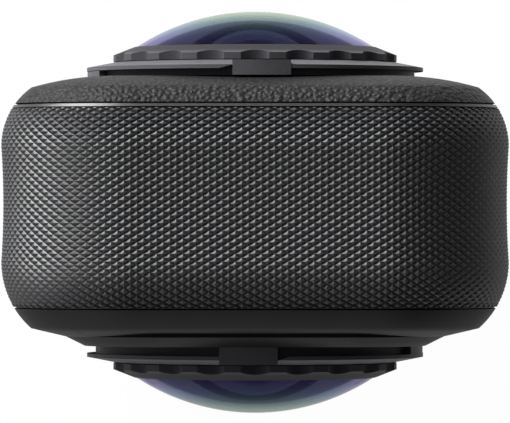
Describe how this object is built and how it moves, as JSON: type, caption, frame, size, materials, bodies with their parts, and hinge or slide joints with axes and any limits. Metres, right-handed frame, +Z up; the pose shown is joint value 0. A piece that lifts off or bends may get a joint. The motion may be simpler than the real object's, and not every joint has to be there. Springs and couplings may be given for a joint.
{
  "type": "360 degree action camera",
  "caption": "Stick-shaped 360 degree action camera: a knurled grip band between front and rear covers, a domed fisheye lens on each face, a rear screen, side battery and tripod thread.",
  "frame": {"origin": "centre of the bounding box on the surface that the camera stands on", "axes": "+Z up the body towards the lenses, -Y out of the front lens, +Y out of the rear lens and the screen, +X towards the side with the buttons and the USB door"},
  "size_m": [0.046, 0.037, 0.114],
  "materials": {
    "grip": "moulded grip with fine diamond points",
    "front_shell": "fine leathery moulded grain",
    "rear_shell": "smooth satin moulding",
    "panel": "fine matt spark texture",
    "base": "matt moulding",
    "rubber": "matt seal rubber",
    "lens_mount": "satin glass-filled moulding",
    "lens_ring": "satin moulding",
    "barrel": "dull black",
    "dome_glass": "clear with a coloured coating",
    "lens_glass": "polished and coated",
    "screen_glass": "polished black-backed cover glass",
    "display": "dark display stack",
    "alloy": "die-cast",
    "steel": "machined",
    "plated_steel": "stamped and plated",
    "contacts": "gold plated",
    "circuit_board": "green solder mask",
    "chip": "moulded package",
    "sensor": "glazed image sensor",
    "bay": "matt moulding",
    "pack": "aluminium cell can wrapped in matt black film",
    "door": "satin moulding",
    "latch": "satin moulding with grip ribs",
    "card": "matt moulding",
    "button": "satin moulding",
    "light_pipe": "milky clear moulding",
    "mesh": "blackened woven mesh"
  },
  "bodies": {
    "camera_body": {"grip_frame": "grip", "front_cover": "front_shell", "rear_cover": "rear_shell", "rear_panel": "panel", "front_gasket": "rubber", "rear_gasket": "rubber", "base_plate": "base", "tripod_insert": "steel", "screen_glass": "screen_glass", "display": "display", "chassis": "alloy", "chassis_screws": "steel", "mount_screws": "steel", "front_lens_mount": "lens_mount", "front_lens_seal": "rubber", "front_lens_barrel": "barrel", "front_fisheye_lens": "lens_glass", "front_inner_lens": "lens_glass", "front_image_sensor": "sensor", "front_sensor_board": "circuit_board", "rear_lens_mount": "lens_mount", "rear_lens_seal": "rubber", "rear_lens_barrel": "barrel", "rear_fisheye_lens": "lens_glass", "rear_inner_lens": "lens_glass", "rear_image_sensor": "sensor", "rear_sensor_board": "circuit_board", "battery_bay": "bay", "battery_contacts": "contacts", "card_socket": "plated_steel", "main_board": "circuit_board", "board_screws": "steel", "processor": "chip", "shield_can": "plated_steel", "usb_socket": "plated_steel", "usb_door_pin": "steel", "side_key_board": "circuit_board", "side_switches": "plated_steel", "rear_key_board": "circuit_board", "rear_switches": "plated_steel", "speaker": "chip", "microphones": "contacts", "microphone_meshes": "mesh", "light_pipes": "light_pipe"},
    "front_lens": {"front_lens_ring": "lens_ring", "front_dome": "dome_glass"},
    "rear_lens": {"rear_lens_ring": "lens_ring", "rear_dome": "dome_glass"},
    "battery": {"battery_pack": "pack", "battery_door": "door", "battery_seal": "rubber"},
    "upper_latch": {"upper_latch": "latch"},
    "lower_latch": {"lower_latch": "latch"},
    "usb_door": {"usb_door": "door", "usb_door_seal": "rubber"},
    "power_button": {"power_button": "button"},
    "quick_button": {"quick_button": "button"},
    "shutter_button": {"shutter_button": "button"},
    "switch_button": {"switch_button": "button"},
    "memory_card": {"memory_card": "card"}
  },
  "joints": [
    {"name": "front_lens_twist", "type": "hinge", "parent": "camera_body", "child": "front_lens", "pos_m": [0, -0.014, 0.092], "axis": [0, -1, 0], "range_deg": [0, 30]},
    {"name": "rear_lens_twist", "type": "hinge", "parent": "camera_body", "child": "rear_lens", "pos_m": [0, 0.014, 0.092], "axis": [0, 1, 0], "range_deg": [0, 30]},
    {"name": "battery_slide", "type": "slide", "parent": "camera_body", "child": "battery", "axis": [-1, 0, 0], "range_m": [0, 0.03]},
    {"name": "upper_latch_slide", "type": "slide", "parent": "battery", "child": "upper_latch", "axis": [0, 0, -1], "range_m": [0, 0.0018], "stiffness_N_per_m": 300},
    {"name": "lower_latch_slide", "type": "slide", "parent": "battery", "child": "lower_latch", "axis": [0, 0, 1], "range_m": [0, 0.0018], "stiffness_N_per_m": 300},
    {"name": "usb_door_swing", "type": "hinge", "parent": "camera_body", "child": "usb_door", "pos_m": [0.02175, -0.00075, 0.0194], "axis": [0, 1, 0], "range_deg": [0, 95]},
    {"name": "power_press", "type": "slide", "parent": "camera_body", "child": "power_button", "axis": [-1, 0, 0], "range_m": [0, 0.00035], "stiffness_N_per_m": 1500},
    {"name": "quick_press", "type": "slide", "parent": "camera_body", "child": "quick_button", "axis": [-1, 0, 0], "range_m": [0, 0.00035], "stiffness_N_per_m": 1500},
    {"name": "shutter_press", "type": "slide", "parent": "camera_body", "child": "shutter_button", "axis": [0, -1, 0], "range_m": [0, 0.00035], "stiffness_N_per_m": 1500},
    {"name": "switch_press", "type": "slide", "parent": "camera_body", "child": "switch_button", "axis": [0, -1, 0], "range_m": [0, 0.00035], "stiffness_N_per_m": 1500},
    {"name": "card_push", "type": "slide", "parent": "camera_body", "child": "memory_card", "axis": [1, 0, 0], "range_m": [0, 0.0006], "stiffness_N_per_m": 800}
  ]
}
